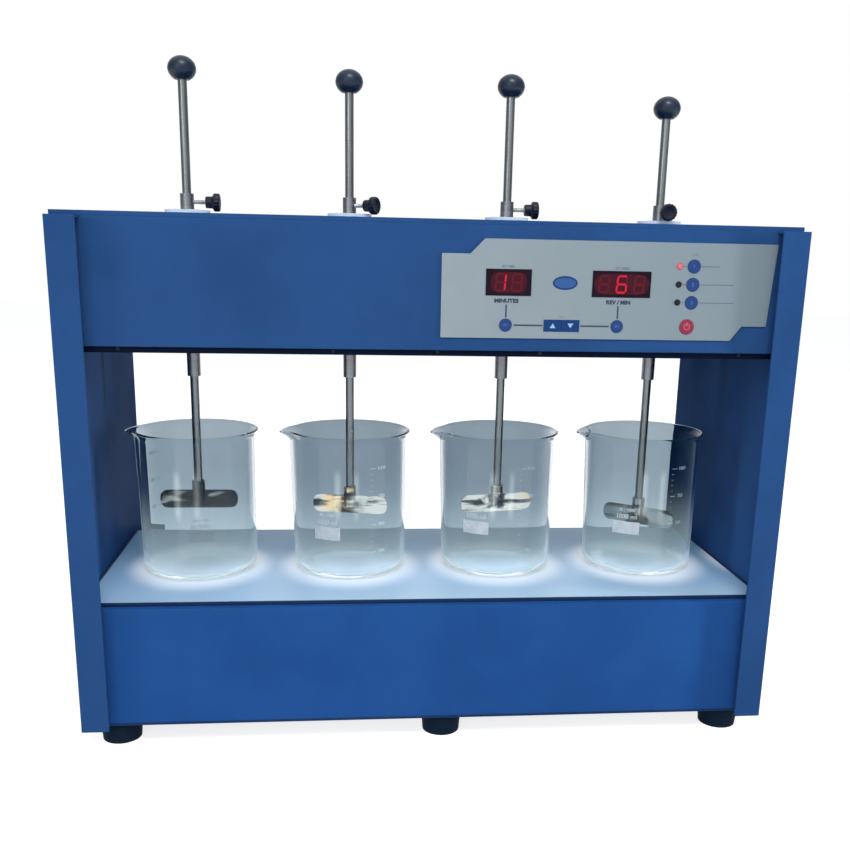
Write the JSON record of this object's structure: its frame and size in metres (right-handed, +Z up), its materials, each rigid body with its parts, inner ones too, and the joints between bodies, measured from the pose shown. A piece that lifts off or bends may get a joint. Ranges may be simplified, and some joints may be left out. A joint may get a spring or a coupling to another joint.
{
  "type": "jar tester",
  "caption": "Bench jar tester with a lit deck for glass jars and a drive housing above that turns sliding paddle stirrers together.",
  "frame": {"origin": "on the bench, under the middle of the bounding box", "axes": "+X to the right seen from the front, +Y to the back, +Z up"},
  "size_m": [0.63, 0.292, 0.6087],
  "materials": {
    "blue_paint": "satin powder coat",
    "dark_paint": "dark powder coat",
    "diffuser": "opal acrylic, lit from below",
    "lamp_board": "white board with light ring",
    "rubber": "matt black",
    "zinc_plate": "zinc plated",
    "motor_paint": "grey enamel",
    "white_plastic": "white nylon",
    "overlay_film": "silver grey film with pale printed shapes",
    "display_red": "dark red window with lit digits",
    "indicator_red": "clear tinted",
    "circuit_board": "green board",
    "supply_case": "plain sheet",
    "black_plastic": "moulded",
    "screw_steel": "bright zinc",
    "gear_plastic": "natural acetal",
    "spindle_steel": "turned stainless",
    "thumb_black": "black head on a steel stem",
    "rod_steel": "ground stainless",
    "knob_black": "polished black",
    "paddle_steel": "bright stainless sheet",
    "jar_glass": "clear with printed scale",
    "key_blue": "embossed film",
    "key_red": "embossed film"
  },
  "bodies": {
    "cabinet": {"left_side_panel": "blue_paint", "right_side_panel": "blue_paint", "base_pan": "blue_paint", "base_rear_panel": "blue_paint", "light_plate": "diffuser", "jar_lamps": "lamp_board", "rubber_feet": "rubber", "housing_floor": "dark_paint", "front_fascia": "blue_paint", "rear_cover": "blue_paint", "top_cover": "blue_paint", "bearing_plate": "zinc_plate", "gear_motor": "motor_paint", "spindle_bushes": "white_plastic", "control_overlay": "overlay_film", "display_windows": "display_red", "indicator_lamps": "indicator_red", "control_board": "circuit_board", "power_supply": "supply_case", "power_inlet": "black_plastic", "case_screws": "screw_steel"},
    "drive": {"drive_gear": "gear_plastic"},
    "idler_1": {"idler_gear_1": "gear_plastic"},
    "idler_2": {"idler_gear_2": "gear_plastic"},
    "spindle_1": {"spindle_1": "spindle_steel", "spindle_gear_1": "gear_plastic"},
    "clamp_1": {"thumb_screw_1": "thumb_black"},
    "stirrer_1": {"stirrer_rod_1": "rod_steel", "ball_knob_1": "knob_black", "paddle_1": "paddle_steel"},
    "jar_1": {"glass_jar_1": "jar_glass"},
    "spindle_2": {"spindle_2": "spindle_steel", "spindle_gear_2": "gear_plastic"},
    "clamp_2": {"thumb_screw_2": "thumb_black"},
    "stirrer_2": {"stirrer_rod_2": "rod_steel", "ball_knob_2": "knob_black", "paddle_2": "paddle_steel"},
    "jar_2": {"glass_jar_2": "jar_glass"},
    "spindle_3": {"spindle_3": "spindle_steel", "spindle_gear_3": "gear_plastic"},
    "clamp_3": {"thumb_screw_3": "thumb_black"},
    "stirrer_3": {"stirrer_rod_3": "rod_steel", "ball_knob_3": "knob_black", "paddle_3": "paddle_steel"},
    "jar_3": {"glass_jar_3": "jar_glass"},
    "spindle_4": {"spindle_4": "spindle_steel", "spindle_gear_4": "gear_plastic"},
    "clamp_4": {"thumb_screw_4": "thumb_black"},
    "stirrer_4": {"stirrer_rod_4": "rod_steel", "ball_knob_4": "knob_black", "paddle_4": "paddle_steel"},
    "jar_4": {"glass_jar_4": "jar_glass"},
    "time_key": {"time_key": "key_blue"},
    "speed_key": {"speed_key": "key_blue"},
    "up_key": {"up_key": "key_blue"},
    "down_key": {"down_key": "key_blue"},
    "function_key_1": {"function_key_1": "key_blue"},
    "function_key_2": {"function_key_2": "key_blue"},
    "function_key_3": {"function_key_3": "key_blue"},
    "power_key": {"power_key": "key_red"}
  },
  "joints": [
    {"name": "drive_gear_turn", "type": "hinge", "parent": "cabinet", "child": "drive", "pos_m": [0, -0.02, 0.367], "axis": [0, 0, 1], "continuous": true},
    {"name": "idler_gear_1_turn", "type": "hinge", "parent": "cabinet", "child": "idler_1", "pos_m": [-0.148, -0.02, 0.367], "axis": [0, 0, 1], "continuous": true},
    {"name": "idler_gear_2_turn", "type": "hinge", "parent": "cabinet", "child": "idler_2", "pos_m": [0.148, -0.02, 0.367], "axis": [0, 0, 1], "continuous": true},
    {"name": "spindle_1_turn", "type": "hinge", "parent": "cabinet", "child": "spindle_1", "pos_m": [-0.222, -0.02, 0.326], "axis": [0, 0, 1], "continuous": true},
    {"name": "thumb_screw_1_turn", "type": "hinge", "parent": "spindle_1", "child": "clamp_1", "pos_m": [-0.222, -0.02, 0.48475], "axis": [1, 0, 0], "range_deg": [0, 360]},
    {"name": "stirrer_1_slide", "type": "slide", "parent": "spindle_1", "child": "stirrer_1", "axis": [0, 0, 1], "range_m": [-0.03, 0.102]},
    {"name": "jar_1_lift", "type": "slide", "parent": "cabinet", "child": "jar_1", "axis": [0, 0, 1], "range_m": [0, 0.02]},
    {"name": "spindle_2_turn", "type": "hinge", "parent": "cabinet", "child": "spindle_2", "pos_m": [-0.074, -0.02, 0.326], "axis": [0, 0, 1], "continuous": true},
    {"name": "thumb_screw_2_turn", "type": "hinge", "parent": "spindle_2", "child": "clamp_2", "pos_m": [-0.074, -0.02, 0.48475], "axis": [0.8387, -0.5446, 0], "range_deg": [0, 360]},
    {"name": "stirrer_2_slide", "type": "slide", "parent": "spindle_2", "child": "stirrer_2", "axis": [0, 0, 1], "range_m": [-0.024, 0.108]},
    {"name": "jar_2_lift", "type": "slide", "parent": "cabinet", "child": "jar_2", "axis": [0, 0, 1], "range_m": [0, 0.02]},
    {"name": "spindle_3_turn", "type": "hinge", "parent": "cabinet", "child": "spindle_3", "pos_m": [0.074, -0.02, 0.326], "axis": [0, 0, 1], "continuous": true},
    {"name": "thumb_screw_3_turn", "type": "hinge", "parent": "spindle_3", "child": "clamp_3", "pos_m": [0.074, -0.02, 0.48475], "axis": [1, 0, 0], "range_deg": [0, 360]},
    {"name": "stirrer_3_slide", "type": "slide", "parent": "spindle_3", "child": "stirrer_3", "axis": [0, 0, 1], "range_m": [-0.025, 0.107]},
    {"name": "jar_3_lift", "type": "slide", "parent": "cabinet", "child": "jar_3", "axis": [0, 0, 1], "range_m": [0, 0.02]},
    {"name": "spindle_4_turn", "type": "hinge", "parent": "cabinet", "child": "spindle_4", "pos_m": [0.222, -0.02, 0.326], "axis": [0, 0, 1], "continuous": true},
    {"name": "thumb_screw_4_turn", "type": "hinge", "parent": "spindle_4", "child": "clamp_4", "pos_m": [0.222, -0.02, 0.48475], "axis": [0, -1, 0], "range_deg": [0, 360]},
    {"name": "stirrer_4_slide", "type": "slide", "parent": "spindle_4", "child": "stirrer_4", "axis": [0, 0, 1], "range_m": [-0.011, 0.121]},
    {"name": "jar_4_lift", "type": "slide", "parent": "cabinet", "child": "jar_4", "axis": [0, 0, 1], "range_m": [0, 0.02]},
    {"name": "time_key_press", "type": "slide", "parent": "cabinet", "child": "time_key", "axis": [0, 1, 0], "range_m": [0, 0.0006], "stiffness_N_per_m": 1500},
    {"name": "speed_key_press", "type": "slide", "parent": "cabinet", "child": "speed_key", "axis": [0, 1, 0], "range_m": [0, 0.0006], "stiffness_N_per_m": 1500},
    {"name": "up_key_press", "type": "slide", "parent": "cabinet", "child": "up_key", "axis": [0, 1, 0], "range_m": [0, 0.0006], "stiffness_N_per_m": 1500},
    {"name": "down_key_press", "type": "slide", "parent": "cabinet", "child": "down_key", "axis": [0, 1, 0], "range_m": [0, 0.0006], "stiffness_N_per_m": 1500},
    {"name": "function_key_1_press", "type": "slide", "parent": "cabinet", "child": "function_key_1", "axis": [0, 1, 0], "range_m": [0, 0.0006], "stiffness_N_per_m": 1500},
    {"name": "function_key_2_press", "type": "slide", "parent": "cabinet", "child": "function_key_2", "axis": [0, 1, 0], "range_m": [0, 0.0006], "stiffness_N_per_m": 1500},
    {"name": "function_key_3_press", "type": "slide", "parent": "cabinet", "child": "function_key_3", "axis": [0, 1, 0], "range_m": [0, 0.0006], "stiffness_N_per_m": 1500},
    {"name": "power_key_press", "type": "slide", "parent": "cabinet", "child": "power_key", "axis": [0, 1, 0], "range_m": [0, 0.0006], "stiffness_N_per_m": 1500}
  ],
  "couplings": [
    {"joint": "idler_gear_1_turn", "follows": "drive_gear_turn", "ratio": 1},
    {"joint": "idler_gear_2_turn", "follows": "drive_gear_turn", "ratio": 1},
    {"joint": "spindle_1_turn", "follows": "drive_gear_turn", "ratio": -1},
    {"joint": "spindle_2_turn", "follows": "drive_gear_turn", "ratio": -1},
    {"joint": "spindle_3_turn", "follows": "drive_gear_turn", "ratio": -1},
    {"joint": "spindle_4_turn", "follows": "drive_gear_turn", "ratio": -1}
  ]
}
